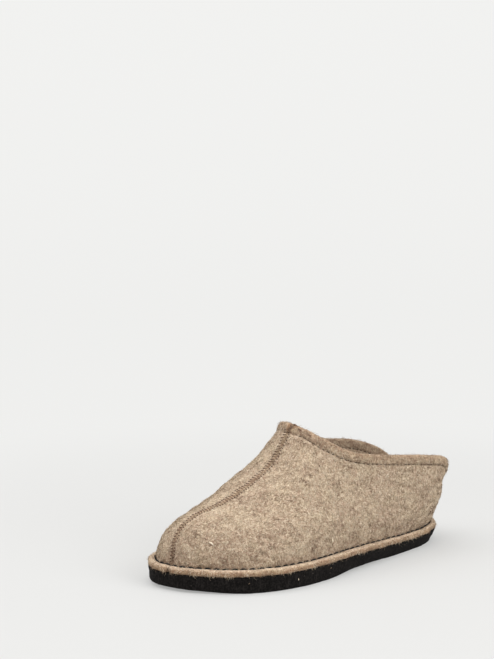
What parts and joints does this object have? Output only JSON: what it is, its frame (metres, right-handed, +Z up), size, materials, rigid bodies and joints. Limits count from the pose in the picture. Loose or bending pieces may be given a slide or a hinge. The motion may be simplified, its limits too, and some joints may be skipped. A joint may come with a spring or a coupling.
{
  "type": "house slipper",
  "caption": "Slip-on house slipper with a hollow felt upper, a low dipped heel, a turned-out felt edge and a thick black rubber sole; left foot.",
  "frame": {"origin": "centre of the bounding box in X and Y, on the floor", "axes": "+X to the wearer's left, which is the outer side, toe towards -Y, +Z up"},
  "size_m": [0.1056, 0.2666, 0.1088],
  "materials": {
    "sole_rubber": "matte porous black",
    "felt": "matte mottled wool felt",
    "footbed_felt": "matte wool felt"
  },
  "bodies": {
    "root": {"outsole": "sole_rubber", "upper": "felt", "insole": "footbed_felt"}
  },
  "joints": []
}
